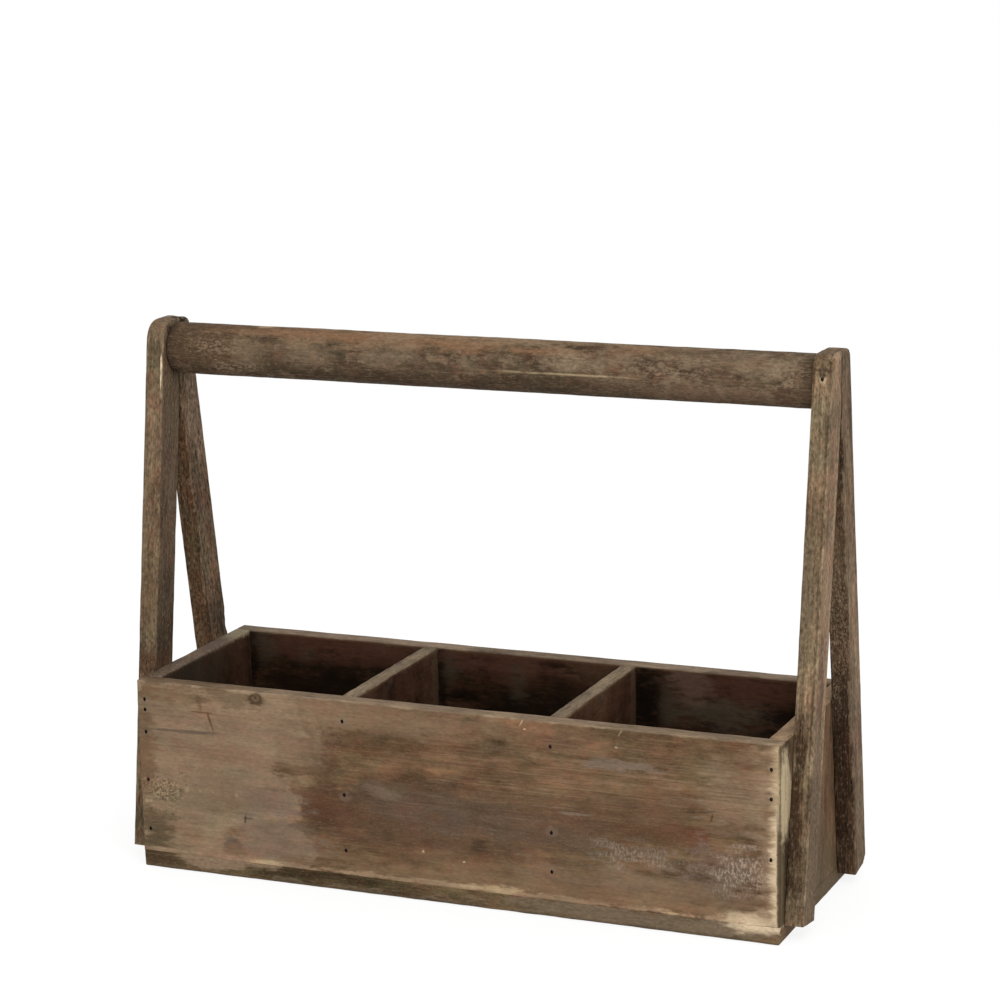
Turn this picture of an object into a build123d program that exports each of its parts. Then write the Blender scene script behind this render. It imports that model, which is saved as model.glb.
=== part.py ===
from build123d import *
import os
from math import atan2, cos, sin, tan

# Wooden tote box: a nailed box of three square compartments, carried by a round handle between two A-frames.
# Millimetres. X runs along the box, Y from front to back, Z up. The origin is the middle of the underside.

# Box of boards
BOX_LENGTH = 460.0
BOX_WIDTH = 159.0
BOX_HEIGHT = 134.0
SIDE_THICKNESS = 12.0
END_THICKNESS = 12.0
BOTTOM_THICKNESS = 12.0
DIVIDER_THICKNESS = 11.0

# A-frames: a front and a rear leg that lean together and meet on the middle plane
FRAME_HEIGHT = 370.5
FRAME_TOP_WIDTH = 36.0
LEG_WIDTH = 25.0
LEG_THICKNESS = 13.5
FOOT_INSET = 9.0
FOOT_HEIGHT = 11.0
HEAD_ROUND = 10.0

# Handle: a round dowel that butts against the legs
HANDLE_DIAMETER = 35.0
HANDLE_DROP = 20.0

# Worn edges of all the wood, rubbed down at a slant
ARRIS = 1.0

# Flat-headed wire nails, punched below the surface
NAIL_WIRE = 1.6
NAIL_HEAD_LENGTH = 3.0
NAIL_HEAD_DEPTH = 1.2
NAIL_POINT = 2.5
NAIL_SET = 1.2
NAIL_LENGTH = 30.0
NAIL_COVER = 3.0

# Where the nails are driven: a share is a height on the wall, 0 at its lower edge and 1 at its rim
FRONT_NAIL_SHARES = {
    "left_end_board": (0.13, 0.42, 0.70, 0.83, 0.89),
    "left_divider": (0.14, 0.46, 0.88),
    "right_divider": (0.16, 0.38, 0.86),
    "right_end_board": (0.37, 0.70, 0.86),
}
BACK_NAIL_SHARES = (0.14, 0.50, 0.86)
LEG_NAIL_SHARES = (0.28, 0.56)
BOTTOM_NAILS_PER_SIDE = 4
BOTTOM_NAIL_MARGIN = 30.0
BOTTOM_END_NAIL_SPREAD = 70.0
HANDLE_NAIL_SPREAD = 16.0
HANDLE_NAIL_DROP = 7.0
APEX_NAIL_DROP = 15.0

# Sizes that follow from the ones above
WALL_HEIGHT = BOX_HEIGHT - BOTTOM_THICKNESS
INNER_WIDTH = BOX_WIDTH - 2 * SIDE_THICKNESS
INNER_LENGTH = BOX_LENGTH - 2 * END_THICKNESS
COMPARTMENT_LENGTH = (INNER_LENGTH - 2 * DIVIDER_THICKNESS) / 3
SIDE_MIDDLE = (BOX_WIDTH - SIDE_THICKNESS) / 2
END_MIDDLE = (BOX_LENGTH - END_THICKNESS) / 2
DIVIDER_MIDDLE = (COMPARTMENT_LENGTH + DIVIDER_THICKNESS) / 2
FRAME_MIDDLE = (BOX_LENGTH + LEG_THICKNESS) / 2
FRAME_OUTSIDE = BOX_LENGTH / 2 + LEG_THICKNESS
HANDLE_AXIS_HEIGHT = FRAME_HEIGHT - HANDLE_DROP
FOOT_REACH = BOX_WIDTH / 2 - FOOT_INSET
TOP_REACH = FRAME_TOP_WIDTH / 2
LEAN = atan2(FOOT_REACH - TOP_REACH, FRAME_HEIGHT - FOOT_HEIGHT)
LEG_NAIL_LENGTH = LEG_THICKNESS + END_THICKNESS - NAIL_SET - NAIL_COVER


# Boards
def board(length, width, height, middle):
    """A sawn board with worn edges, standing on its lower face at middle."""
    blank = Box(length, width, height, align=(Align.CENTER, Align.CENTER, Align.MIN))
    return Pos(*middle) * chamfer(blank.edges(), ARRIS)


# Legs
def leg_reach(height):
    """How far a leg's outer edge stands from the middle plane at a height."""
    return TOP_REACH + (FRAME_HEIGHT - height) * tan(LEAN)


def leg(side, row):
    """A slat with a square-cut foot, mitred on the middle plane, with a rounded head.
    side is -1 on the left and +1 on the right, row is -1 in front and +1 behind."""
    foot_inner = (FOOT_REACH - LEG_WIDTH * cos(LEAN), FOOT_HEIGHT - LEG_WIDTH * sin(LEAN))
    crotch_height = foot_inner[1] + foot_inner[0] / tan(LEAN)
    corners = [
        (FOOT_REACH, FOOT_HEIGHT),
        foot_inner,
        (0, crotch_height),
        (0, FRAME_HEIGHT),
        (TOP_REACH, FRAME_HEIGHT),
    ]
    outline = make_face(Polyline(*[(row * reach, height) for reach, height in corners], close=True))
    shoulder = outline.vertices().group_by(Axis.Y)[-1].sort_by(Axis.X)[-1 if row > 0 else 0]
    outline = fillet(shoulder, min(HEAD_ROUND, TOP_REACH - ARRIS))
    blank = extrude(Plane.YZ * outline, LEG_THICKNESS, dir=(side, 0, 0))
    crosswise = blank.edges().filter_by(Axis.X)
    mitre = [edge for edge in blank.edges() if max(abs(corner.Y) for corner in edge.vertices()) < ARRIS]
    worn = [edge for edge in blank.edges() if edge not in crosswise and edge not in mitre]
    return Pos(side * BOX_LENGTH / 2, 0, 0) * chamfer(worn, ARRIS)


# Nails
def nail(length, head_rise=0.0):
    """A nail along Z, its head at the top; head_rise draws the head up to make the cut of its hole."""
    half_head = NAIL_HEAD_LENGTH / 2
    half_wire = NAIL_WIRE / 2
    right_side = [
        (half_head, head_rise),
        (half_head, -NAIL_HEAD_DEPTH),
        (half_wire, -NAIL_HEAD_DEPTH),
        (half_wire, NAIL_POINT - length),
        (0, -length),
    ]
    left_side = [(-x, z) for x, z in reversed(right_side[:-1])]
    profile = make_face(Polyline(*right_side, *left_side, close=True))
    return extrude(Plane.XZ * profile, half_wire, both=True)


def nail_seat(point, outward, along):
    """The place of a nail driven in at a point of a surface, with its head's long side along a direction."""
    return Plane(origin=Vector(*point) - NAIL_SET * Vector(*outward), x_dir=along, z_dir=outward)


def drive(group, seats, length, *through):
    """Add a group of nails, and cut their holes in the pieces that they go through."""
    pieces[group] = Compound([seat * nail(length) for seat in seats])
    holes = [seat * nail(length, head_rise=2 * NAIL_SET) for seat in seats]
    for name in through:
        pieces[name] = pieces[name] - holes


UP = (0, 0, 1)
ACROSS = (0, 1, 0)
LENGTHWISE = (1, 0, 0)
pieces = {}

# Bottom board, under the walls and flush with them
pieces["bottom_board"] = board(BOX_LENGTH, BOX_WIDTH, BOTTOM_THICKNESS, (0, 0, 0))

# Front and back boards, over the ends of the four uprights
for wall, row in (("front", -1), ("back", 1)):
    middle = (0, row * SIDE_MIDDLE, BOTTOM_THICKNESS)
    pieces[f"{wall}_board"] = board(BOX_LENGTH, SIDE_THICKNESS, WALL_HEIGHT, middle)

# End boards and dividers, between the front and the back
uprights = {
    "left_end_board": (-END_MIDDLE, END_THICKNESS),
    "left_divider": (-DIVIDER_MIDDLE, DIVIDER_THICKNESS),
    "right_divider": (DIVIDER_MIDDLE, DIVIDER_THICKNESS),
    "right_end_board": (END_MIDDLE, END_THICKNESS),
}
for name, (x, thickness) in uprights.items():
    pieces[name] = board(thickness, INNER_WIDTH, WALL_HEIGHT, (x, 0, BOTTOM_THICKNESS))

# Legs, flat on the outside of the end boards
for end, side in (("left", -1), ("right", 1)):
    for place, row in (("front", -1), ("rear", 1)):
        pieces[f"{end}_{place}_leg"] = leg(side, row)

# Handle, between the heads of the two A-frames
dowel = Cylinder(HANDLE_DIAMETER / 2, BOX_LENGTH)
dowel = chamfer(dowel.edges().filter_by(GeomType.CIRCLE), ARRIS)
pieces["handle"] = Pos(0, 0, HANDLE_AXIS_HEIGHT) * Rot(0, 90, 0) * dowel

# Nails through the front and back boards into the uprights
for wall, row in (("front", -1), ("back", 1)):
    for name, (x, thickness) in uprights.items():
        shares = FRONT_NAIL_SHARES[name] if wall == "front" else BACK_NAIL_SHARES
        heights = [BOTTOM_THICKNESS + share * WALL_HEIGHT for share in shares]
        seats = [nail_seat((x, row * BOX_WIDTH / 2, z), (0, row, 0), UP) for z in heights]
        drive(f"{wall}_{name}_nails", seats, NAIL_LENGTH, f"{wall}_board", name)

# Nails up through the bottom board into the walls
first_nail = BOTTOM_NAIL_MARGIN - BOX_LENGTH / 2
nail_step = -2 * first_nail / (BOTTOM_NAILS_PER_SIDE - 1)
for wall, row in (("front", -1), ("back", 1)):
    places = [(first_nail + i * nail_step, row * SIDE_MIDDLE, 0) for i in range(BOTTOM_NAILS_PER_SIDE)]
    seats = [nail_seat(place, (0, 0, -1), LENGTHWISE) for place in places]
    drive(f"bottom_{wall}_nails", seats, NAIL_LENGTH, "bottom_board", f"{wall}_board")
for end, side in (("left", -1), ("right", 1)):
    places = [(side * END_MIDDLE, row * BOTTOM_END_NAIL_SPREAD / 2, 0) for row in (-1, 1)]
    seats = [nail_seat(place, (0, 0, -1), ACROSS) for place in places]
    drive(f"bottom_{end}_end_nails", seats, NAIL_LENGTH, "bottom_board", f"{end}_end_board")

# Nails through the legs: into the end boards, into the handle's ends and across the mitre
for end, side in (("left", -1), ("right", 1)):
    outward = (side, 0, 0)
    for place, row in (("front", -1), ("rear", 1)):
        heights = [BOTTOM_THICKNESS + share * WALL_HEIGHT for share in LEG_NAIL_SHARES]
        middles = [row * (leg_reach(z) - LEG_WIDTH / 2 / cos(LEAN)) for z in heights]
        seats = [nail_seat((side * FRAME_OUTSIDE, y, z), outward, UP) for y, z in zip(middles, heights)]
        drive(f"{end}_{place}_leg_nails", seats, LEG_NAIL_LENGTH, f"{end}_{place}_leg", f"{end}_end_board")
    z = HANDLE_AXIS_HEIGHT - HANDLE_NAIL_DROP
    places = [(side * FRAME_OUTSIDE, row * HANDLE_NAIL_SPREAD / 2, z) for row in (-1, 1)]
    seats = [nail_seat(place, outward, UP) for place in places]
    drive(f"{end}_handle_nails", seats, NAIL_LENGTH, f"{end}_front_leg", f"{end}_rear_leg", "handle")
    z = FRAME_HEIGHT - APEX_NAIL_DROP
    place = (side * FRAME_MIDDLE, -leg_reach(z), z)
    seat = nail_seat(place, (0, -cos(LEAN), sin(LEAN)), (0, sin(LEAN), cos(LEAN)))
    drive(f"{end}_apex_nail", [seat], NAIL_LENGTH, f"{end}_front_leg", f"{end}_rear_leg")

# One file for each named piece
os.makedirs("parts", exist_ok=True)
for name, piece in pieces.items():
    export_step(piece, f"parts/{name}.step")
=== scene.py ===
import math

import bmesh
import bpy
from mathutils import Matrix, Vector, kdtree, noise


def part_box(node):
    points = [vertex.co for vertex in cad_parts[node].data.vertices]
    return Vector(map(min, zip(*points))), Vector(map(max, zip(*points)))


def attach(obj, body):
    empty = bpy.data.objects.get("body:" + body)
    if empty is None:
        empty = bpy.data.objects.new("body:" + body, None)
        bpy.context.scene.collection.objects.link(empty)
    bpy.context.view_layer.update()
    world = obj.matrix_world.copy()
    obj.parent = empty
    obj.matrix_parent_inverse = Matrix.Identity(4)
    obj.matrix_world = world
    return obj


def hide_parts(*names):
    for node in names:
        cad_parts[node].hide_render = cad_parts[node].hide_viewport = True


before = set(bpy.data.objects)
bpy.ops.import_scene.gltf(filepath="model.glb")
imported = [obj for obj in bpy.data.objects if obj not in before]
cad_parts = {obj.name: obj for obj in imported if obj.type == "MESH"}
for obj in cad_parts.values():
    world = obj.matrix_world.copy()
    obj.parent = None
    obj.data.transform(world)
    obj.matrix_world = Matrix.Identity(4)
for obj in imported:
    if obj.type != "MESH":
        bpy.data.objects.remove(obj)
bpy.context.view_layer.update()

# Bottom board
# A plain softwood board that the four walls stand on, flush with them all round and nailed up into their
# lower edges. Its long front edge shows as the darker strip along the foot of the box, with pale wash run
# down over part of it.
MM = 0.001
ARRIS = 1.3 * MM
CELL = 2.0 * MM
RUB_REACH = 7.0 * MM
WARP_LENGTH = 160 * MM
DENT_LENGTH = 14 * MM
NICK_LENGTH = 4 * MM
FUZZ = 0.06 * MM
CRISP_ANGLE = math.radians(50)
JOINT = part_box("bottom_board")[1].z


def board_blank(node):
    """A square-edged board of a node's size, in its place."""
    low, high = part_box(node)
    shape = bmesh.new()
    bmesh.ops.create_cube(shape, size=1.0)
    bmesh.ops.scale(shape, vec=high - low, verts=shape.verts)
    bmesh.ops.translate(shape, vec=(low + high) / 2, verts=shape.verts)
    return shape


def flat_sides(shape):
    """The flat sides of a blank, each as a point on it and its outward direction."""
    shape.normal_update()
    return [(face.calc_center_median(), face.normal.copy()) for face in shape.faces]


def round_off(shape, edges, radius, steps):
    """Rounds edges over in a few steps."""
    bmesh.ops.bevel(
        shape, geom=edges, offset=radius, segments=steps, profile=0.5, affect="EDGES", material=-1
    )


def cut_board(shape):
    """Rounds a board's arrises, all but those of its joint with the bottom board or the walls,
    and divides its sides into cells that are small enough to wear unevenly."""
    arrises = []
    for edge in shape.edges:
        if max(abs(vert.co.z - JOINT) for vert in edge.verts) > ARRIS:
            arrises.append(edge)
    round_off(shape, arrises, ARRIS, 3)
    for axis in range(3):
        runs = []
        for edge in shape.edges:
            run = edge.verts[1].co - edge.verts[0].co
            if run.length > 1.5 * CELL and abs(run[axis]) > 0.99 * run.length:
                runs.append(edge)
        cuts = round(runs[0].calc_length() / CELL) - 1
        bmesh.ops.subdivide_edges(shape, edges=runs, cuts=cuts, use_grid_fill=True)


def wear(shape, sides, seed, edge_loss, warp, chips=(), joint=None):
    """Warps a piece, rubs its arrises down unevenly, less so next to a joint, and knocks chips out of it.
    Each point's rub, 1 on an arris and 0 away from it, is kept for the finish."""
    rub = shape.verts.layers.float.new("rub")
    shape.normal_update()
    drift = Vector((0.37, 0.71, 0.53)) * seed
    for vert in shape.verts:
        place = vert.co + drift
        depths = sorted((point - vert.co).dot(outward) for point, outward in sides)
        near = max(0.0, 1.0 - max(depths[1], 0.0) / RUB_REACH)
        if joint is not None:
            near *= min(1.0, abs(vert.co.z - joint) / RUB_REACH)
        dents = 0.5 + 0.6 * noise.noise(place / DENT_LENGTH) + 0.3 * noise.noise(place / NICK_LENGTH)
        loss = edge_loss * near**3 * max(0.0, dents)
        for middle, reach, depth in chips:
            distance = Vector((vert.co[axis] / MM - middle[axis]) / reach[axis] for axis in range(3)).length
            loss += depth * MM * max(0.0, 1.0 - distance**2) * max(0.2, dents)
        bend = warp * noise.noise(place / WARP_LENGTH)
        vert[rub] = near
        vert.co += vert.normal * (FUZZ * noise.noise(place / NICK_LENGTH) - loss)
        vert.co += bend * sides[0][1]


def worn_board(node, seed, edge_loss, warp, chips=()):
    """A board of a node's size, rounded and worn."""
    shape = board_blank(node)
    sides = flat_sides(shape)
    cut_board(shape)
    wear(shape, sides, seed, edge_loss, warp, chips, JOINT)
    return shape


def put_in(node, shape, finish):
    """Makes a worn piece out of its mesh, in place of the plain node."""
    mesh = bpy.data.meshes.new(f"worn_{node}")
    shape.to_mesh(mesh)
    shape.free()
    mesh.shade_smooth()
    mesh.set_sharp_from_angle(angle=CRISP_ANGLE)
    mesh.materials.append(finish)
    piece = bpy.data.objects.new(f"worn_{node}", mesh)
    bpy.context.scene.collection.objects.link(piece)
    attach(piece, "root")
    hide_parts(node)
    return piece


HOLE_BOTTOM = 0.9 * MM
HOLE_MOUTH = 1.5 * MM
HOLE_STRETCH = 1.3
HOLE_RISE = 4.0 * MM
HOLE_DEPTH = 0.95 * MM
HOLE_SEAT = 0.45 * HOLE_RISE
HOLE_CORNERS = 9


def nail_heads(group, outward):
    """The middles of the outer faces of a group's nail heads."""
    nails = bmesh.new()
    nails.from_mesh(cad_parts[group].data)
    bmesh.ops.remove_doubles(nails, verts=nails.verts, dist=0.001 * MM)
    found = set()
    heads = []
    for first in nails.verts:
        if first in found:
            continue
        found.add(first)
        nail = [first]
        for vert in nail:
            for edge in vert.link_edges:
                other = edge.other_vert(vert)
                if other not in found:
                    found.add(other)
                    nail.append(other)
        top = max(vert.co.dot(outward) for vert in nail)
        rim = [vert.co for vert in nail if vert.co.dot(outward) > top - 0.1 * MM]
        heads.append(sum(rim, Vector()) / len(rim))
    nails.free()
    return heads


def blacken_holes(mesh, heads):
    """Marks the faces inside nail holes for the finish to blacken, as rust stain and painted shade."""
    hole_stain_and_shade = mesh.attributes.new("hole_stain_and_shade", "FLOAT", "FACE")
    middles = kdtree.KDTree(len(mesh.polygons))
    for face in mesh.polygons:
        middles.insert(face.center, face.index)
    middles.balance()
    for head, outward in heads:
        for place, index, _ in middles.find_range(head, 2 * HOLE_MOUTH):
            if (place - head).dot(outward) < HOLE_DEPTH:
                hole_stain_and_shade.data[index].value = 1.0


def punch(piece, holes):
    """Opens the torn holes through which a piece's nails were punched below its surface.
    Each of holes is a group of nails, the direction out of its holes and that of the heads' long side."""
    tools = bmesh.new()
    heads = []
    for group, outward, long_side in holes:
        turn = Matrix((long_side, outward.cross(long_side), outward)).transposed().to_4x4()
        for head in nail_heads(group, outward):
            heads.append((head, outward))
            hole = bmesh.ops.create_cone(
                tools, cap_ends=True, segments=HOLE_CORNERS,
                radius1=HOLE_BOTTOM, radius2=HOLE_MOUTH, depth=HOLE_RISE,
            )
            bmesh.ops.scale(tools, vec=(HOLE_STRETCH, 1, 1), verts=hole["verts"])
            bmesh.ops.transform(tools, matrix=turn, verts=hole["verts"])
            bmesh.ops.translate(tools, vec=head + outward * HOLE_SEAT, verts=hole["verts"])
    mesh = bpy.data.meshes.new("nail_holes")
    tools.to_mesh(mesh)
    tools.free()
    cutter = bpy.data.objects.new("nail_holes", mesh)
    bpy.context.scene.collection.objects.link(cutter)
    opening = piece.modifiers.new("nail_holes", "BOOLEAN")
    opening.object = cutter
    opening.operation = "DIFFERENCE"
    opening.solver = "EXACT"
    whole = piece.data
    graph = bpy.context.evaluated_depsgraph_get()
    piece.data = bpy.data.meshes.new_from_object(piece.evaluated_get(graph))
    piece.modifiers.clear()
    bpy.data.objects.remove(cutter)
    bpy.data.meshes.remove(mesh)
    bpy.data.meshes.remove(whole)
    piece.data.set_sharp_from_angle(angle=CRISP_ANGLE)
    blacken_holes(piece.data, heads)


def tone(red, green, blue):
    """A colour in linear light."""
    return (red, green, blue, 1.0)


def shade(colour, times):
    """A lighter or darker shade of a colour."""
    return tone(*(times * part for part in colour[:3]))


class Finish:
    """A material as it is built up: each call adds nodes and gives back the socket that comes out of them."""

    def __init__(self, name):
        self.material = bpy.data.materials.new(name)
        self.material.use_nodes = True
        self.tree = self.material.node_tree
        self.shader = self.tree.nodes["Principled BSDF"]
        self.place = self.tree.nodes.new("ShaderNodeTexCoord").outputs["Object"]

    def give(self, socket, value):
        """Sets an input to a number or colour, or joins it to another node's socket."""
        if isinstance(value, bpy.types.NodeSocket):
            self.tree.links.new(value, socket)
        else:
            socket.default_value = value

    def add(self, kind, output, inputs, **settings):
        """A new node with these inputs and settings."""
        node = self.tree.nodes.new(kind)
        for setting, value in settings.items():
            setattr(node, setting, value)
        for name, value in inputs.items():
            self.give(node.inputs[name], value)
        return node.outputs[output]

    def math(self, operation, *values):
        """A sum, a product or the like of these values."""
        return self.add("ShaderNodeMath", 0, dict(enumerate(values)), operation=operation)

    def laid(self, middle, sizes, turn=(0, 0, 0)):
        """The place on the piece, measured from a middle in units of these sizes."""
        inputs = {"Vector": self.place, "Location": middle, "Rotation": turn, "Scale": sizes}
        return self.add("ShaderNodeMapping", 0, inputs, vector_type="TEXTURE")

    def clouds(self, place, detail=4.0, roughness=0.55):
        """Noise that mostly lies between -1 and 1, in patches of the size that the place is laid out in."""
        inputs = {"Vector": place, "Scale": 1.0, "Detail": detail, "Roughness": roughness}
        return self.math("MULTIPLY_ADD", self.add("ShaderNodeTexNoise", 0, inputs), 8.0, -4.0)

    def rise(self, value, start, end, top=1.0):
        """0 before start, top after end, and smooth in between."""
        inputs = {"Value": value, "From Min": start, "From Max": end, "To Max": top}
        return self.add("ShaderNodeMapRange", 0, inputs, interpolation_type="SMOOTHSTEP")

    def blend(self, share, under, over, how="MIX"):
        """One colour over another."""
        return self.add("ShaderNodeMix", 2, {0: share, 6: under, 7: over}, data_type="RGBA", blend_type=how)

    def ramp(self, value, stops):
        """A colour that goes through these stops."""
        node = self.tree.nodes.new("ShaderNodeValToRGB")
        elements = node.color_ramp.elements
        while len(elements) < len(stops):
            elements.new(0.5)
        for element, (position, colour) in zip(elements, stops):
            element.position = position
            element.color = colour
        self.give(node.inputs[0], value)
        return node.outputs[0]


ALONG_X, ALONG_Y, ALONG_Z = range(3)

# Layers of the grain's light and dark: their sizes along and across it in millimetres, detail and share
CLOUD_LAYERS = ((120, 30, 6, 0.18), (30, 16, 7, 0.20), (170, 6, 5, 0.12))
LINE_LAYERS = ((60, 1.5, 4, 0.22), (14, 0.6, 2, 0.14))

# Smudges: their sizes along and across the grain in millimetres and share, and the tints that they take
LIGHT_SIZES = ((80, 24, 0.7), (34, 11, 0.65), (11, 5, 0.45))
HUE_SIZES = ((46, 32, 0.8), (20, 15, 0.75), (9, 7, 0.5))
WHITE = tone(1.0, 1.0, 1.0)
LIGHT_STOPS = ((0.0, tone(0.66, 0.63, 0.60)), (0.5, WHITE), (1.0, tone(1.34, 1.32, 1.29)))
HUE_STOPS = ((0.0, tone(0.93, 1.02, 0.97)), (0.5, WHITE), (1.0, tone(1.08, 0.93, 0.91)))

# How far apart the noise of the pieces and of their layers lies, and how rough and shiny the wood is
SEED_DRIFT = (0.37, 0.29, 0.41)
LAYER_DRIFT = (0.13, 0.0, -0.11)
SMOOTHEST = 0.6
ROUGHEST = 0.9
SHEEN = 0.06

# The box's rim and inside, and the colours of old wood
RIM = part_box("front_board")[1].z
INSIDE_REACH = Vector((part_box("right_end_board")[0].x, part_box("back_board")[0].y, RIM))
BLACKENED = tone(0.022, 0.013, 0.008)
NEAR_BLACK = tone(0.006, 0.004, 0.003)
PALE_FIBRE = tone(0.31, 0.22, 0.14)
INSIDE_SHADES = (
    (0.0, tone(0.012, 0.006, 0.003)),
    (0.45, tone(0.044, 0.019, 0.010)),
    (0.8, tone(0.062, 0.030, 0.017)),
    (1.0, tone(0.084, 0.056, 0.038)),
)
INSIDE_BLOTCH = tone(0.070, 0.046, 0.030)


class Wood(Finish):
    """Old bare softwood, clouded and streaked along its grain, to which stains and wear are added."""

    def __init__(self, name, middle_tone, seed, grain=ALONG_X, lean=0.0, lines=0.4, grit=0.12):
        super().__init__(name)
        self.grit = grit
        self.lines = lines
        self.grain = grain
        self.turn = (lean, 0, 0)
        self.seed = seed
        self.layers = 0
        self.turns = {}
        parts = self.tree.nodes.new("ShaderNodeSeparateXYZ")
        self.give(parts.inputs[0], self.place)
        self.x, self.y, self.z = parts.outputs
        self.ragged = self.figure(20, 6, detail=6.0, roughness=0.68)
        self.frayed = self.figure(14, 1.3, detail=3.0)
        self.mottled = self.figure(6, 5, detail=5.0, roughness=0.6)
        self.height = 0.5
        for along, across, detail, share in CLOUD_LAYERS:
            self.height = self.math("MULTIPLY_ADD", self.figure(along, across, detail), share, self.height)
        for along, across, detail, share in LINE_LAYERS:
            swing = self.figure(along, across, detail)
            self.height = self.math("MULTIPLY_ADD", swing, lines * share, self.height)
        self.colour = self.grained(middle_tone)

    def figure(self, along, across, detail=4.0, roughness=0.55):
        """Noise drawn out along the grain, with its sizes along and across it in millimetres.
        Each layer of each piece lies in a place of its own in the noise."""
        self.layers += 1
        sizes = [across * MM] * 3
        sizes[self.grain] = along * MM
        steps = zip(SEED_DRIFT, LAYER_DRIFT)
        drift = [by_seed * self.seed + by_layer * self.layers for by_seed, by_layer in steps]
        return self.clouds(self.laid(drift, sizes, self.turn), detail, roughness)

    def grained(self, middle_tone):
        """A tone with the light and dark of the grain in it."""
        stops = ((0.0, shade(middle_tone, 0.52)), (0.5, middle_tone), (1.0, shade(middle_tone, 1.55)))
        return self.ramp(self.height, stops)

    def face(self, middle_tone, point, outward, depth=1.1 * MM):
        """One flat side, given by a point on it and its outward direction, in its own tone."""
        out = self.add("ShaderNodeVectorMath", "Value", {0: self.place, 1: outward}, operation="DOT_PRODUCT")
        level = point.dot(outward)
        share = self.rise(out, level - 2 * depth, level - depth)
        self.colour = self.blend(share, self.colour, self.grained(middle_tone))

    def tinge(self, colour, along, across, start, end, strength, within=None):
        """A colour that the wood has in patches of a size, where their noise passes from start to end."""
        share = self.rise(self.figure(along, across, detail=3.0, roughness=0.6), start, end, strength)
        if within is not None:
            share = self.math("MULTIPLY", share, within)
        self.colour = self.blend(share, self.colour, colour)

    def smudge(self, light, hue):
        """Soft smudges of lighter and darker, redder and greener wood, large and small."""
        for sizes, stops, strength in ((LIGHT_SIZES, LIGHT_STOPS, light), (HUE_SIZES, HUE_STOPS, hue)):
            for along, across, share in sizes:
                swing = self.figure(along, across, detail=5.0, roughness=0.62)
                tint = self.ramp(self.math("MULTIPLY_ADD", swing, 0.5, 0.5), stops)
                self.colour = self.blend(share * strength, self.colour, tint, "MULTIPLY")

    def age(self, cracks, hairs, flecks):
        """Dark cracks and pale hairs along the grain, pale flecks and dark pits."""
        self.tinge(BLACKENED, 70, 1.0, 0.9, 1.25, cracks)
        self.tinge(PALE_FIBRE, 22, 0.9, 0.8, 1.2, hairs)
        self.tinge(PALE_FIBRE, 2.6, 1.1, 0.6, 1.3, flecks)
        self.tinge(BLACKENED, 2.8, 1.1, 0.6, 1.3, flecks)

    def turned(self, turn):
        """The place as a vector, turned by some degrees in the board's own plane."""
        if turn not in self.turns:
            inputs = {"Vector": self.place, "Angle": math.radians(turn)}
            self.turns[turn] = self.add("ShaderNodeVectorRotate", 0, inputs, rotation_type="Y_AXIS")
        return self.turns[turn]

    def spot(self, middle, reach, soft, ragged, strength=1.0, turn=0, edge=None):
        """How far a place lies inside a ragged round spot, from its middle and reach in millimetres."""
        middle = Matrix.Rotation(math.radians(turn), 3, "Y") @ Vector(middle)
        shrink = [1 / (size * MM) for size in reach]
        shift = [-where / size for where, size in zip(middle, reach)]
        inputs = {0: self.turned(turn), 1: shrink, 2: shift}
        near = self.add("ShaderNodeVectorMath", "Vector", inputs, operation="MULTIPLY_ADD")
        distance = self.add("ShaderNodeVectorMath", "Value", {0: near}, operation="LENGTH")
        distance = self.math("MULTIPLY_ADD", edge or self.ragged, 2 * ragged, distance)
        return self.rise(distance, 1 + soft, 1 - soft, strength)

    def mark(self, colour, middle, reach, strength, soft=0.4, ragged=0.2, turn=0, edge=None):
        """A stain, a wash, a scratch or a rubbed place."""
        share = self.spot(middle, reach, soft, ragged, strength, turn, edge)
        self.colour = self.blend(share, self.colour, colour)

    def scuff(self, colour, middle, reach, strokes, strength):
        """A scuffed place, full of small strokes whose sizes are in millimetres."""
        share = self.spot(middle, reach, soft=0.6, ragged=0.3, strength=strength)
        drift = (0.03 * len(self.tree.nodes), 0.1, 0.2)
        torn = self.clouds(self.laid(drift, [size * MM for size in strokes]), detail=5.0, roughness=0.65)
        share = self.math("MULTIPLY", share, self.rise(torn, -0.4, 0.8))
        self.colour = self.blend(share, self.colour, colour)

    def rub(self, colour, start, end, strength, within=None):
        """Bare paler wood where the arrises are rubbed."""
        worn = self.add("ShaderNodeAttribute", "Fac", {}, attribute_name="rub")
        worn = self.math("MULTIPLY_ADD", self.ragged, 0.3, worn)
        share = self.rise(worn, start, end, strength)
        if within is not None:
            share = self.math("MULTIPLY", share, within)
        self.colour = self.blend(share, self.colour, colour)

    def rim(self, middle_tone, strength):
        """The top edges of the box, handled and greyed."""
        share = self.rise(self.z, RIM - 1.8 * MM, RIM - 0.6 * MM, strength)
        self.colour = self.blend(share, self.colour, self.grained(middle_tone))
        self.tinge(BLACKENED, 16, 1.8, 0.3, 1.3, 0.5, within=share)
        self.tinge(PALE_FIBRE, 14, 1.6, 0.2, 1.2, 0.5, within=share)

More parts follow.
